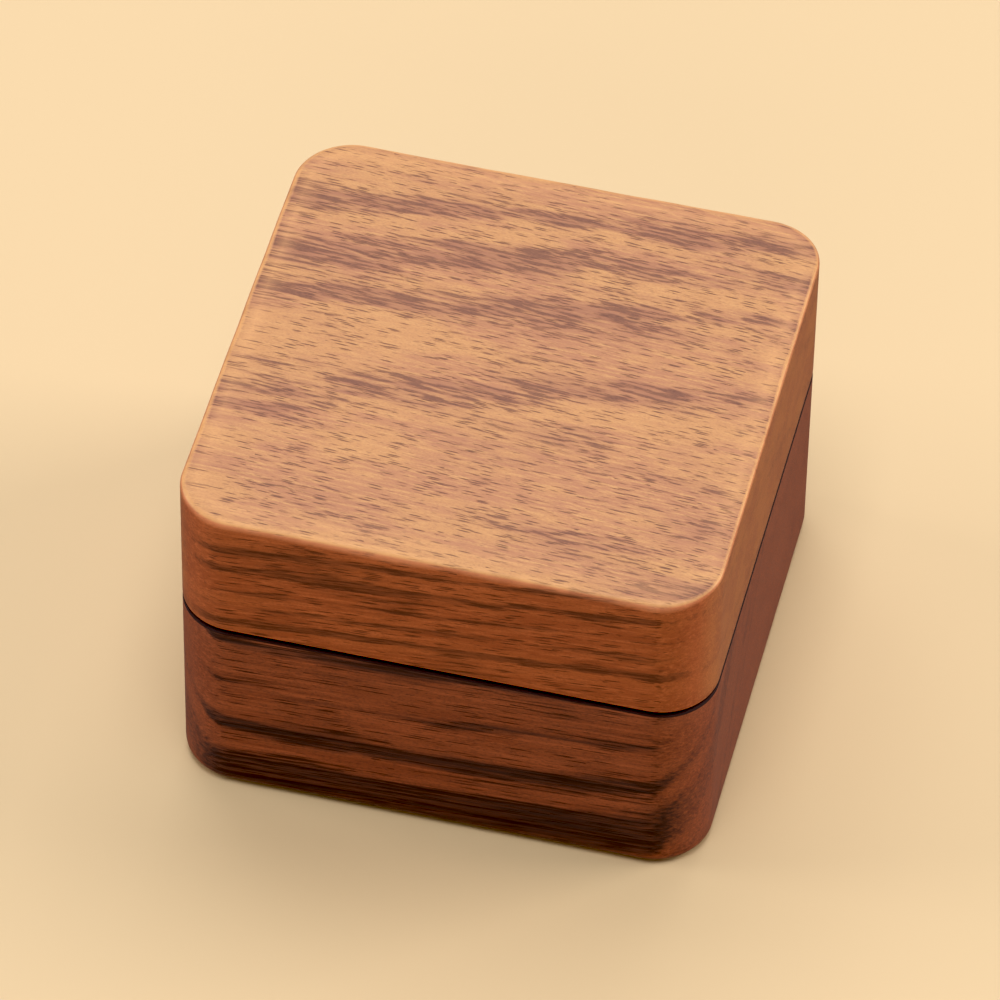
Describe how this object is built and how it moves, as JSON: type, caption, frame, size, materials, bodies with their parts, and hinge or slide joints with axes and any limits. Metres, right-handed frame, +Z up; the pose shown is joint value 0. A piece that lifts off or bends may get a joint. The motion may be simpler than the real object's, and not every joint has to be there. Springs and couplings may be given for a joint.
{
  "type": "ring box",
  "caption": "Square walnut ring box with rounded upright corners, a deep lid on a small brass hinge, magnets that hold it shut, and a slotted velvet ring pad inside.",
  "frame": {"origin": "centre of the base's underside, where it rests on a table", "axes": "+X along the front face and the wood's grain, to the right as the front is faced; +Y towards the back, where the hinge is; +Z up. The lid is shut."},
  "size_m": [0.055, 0.056, 0.0391],
  "materials": {
    "walnut_base": "satin",
    "walnut_lid": "satin",
    "brass": "satin",
    "nickel": "polished",
    "velvet": "matte",
    "foam": "matte",
    "grey_board": "matte"
  },
  "bodies": {
    "base_body": {"base": "walnut_base", "base_magnet_left": "nickel", "base_magnet_right": "nickel", "hinge_leaf_lower": "brass", "hinge_pin": "brass", "hinge_screw_lower_left": "brass", "hinge_screw_lower_right": "brass", "ring_pad_board": "grey_board", "ring_pad_foam_front": "foam", "ring_pad_foam_rear": "foam", "ring_pad_velvet_front": "velvet", "ring_pad_velvet_rear": "velvet"},
    "lid_body": {"lid": "walnut_lid", "lid_magnet_left": "nickel", "lid_magnet_right": "nickel", "hinge_leaf_upper": "brass", "hinge_screw_upper_left": "brass", "hinge_screw_upper_right": "brass", "lid_pad_board": "grey_board", "lid_pad_foam": "foam", "lid_pad_velvet": "velvet"}
  },
  "joints": [
    {"name": "lid_hinge", "type": "hinge", "parent": "base_body", "child": "lid_body", "pos_m": [0, 0.02725, 0.02295], "axis": [-1, 0, 0], "range_deg": [0, 110]}
  ]
}
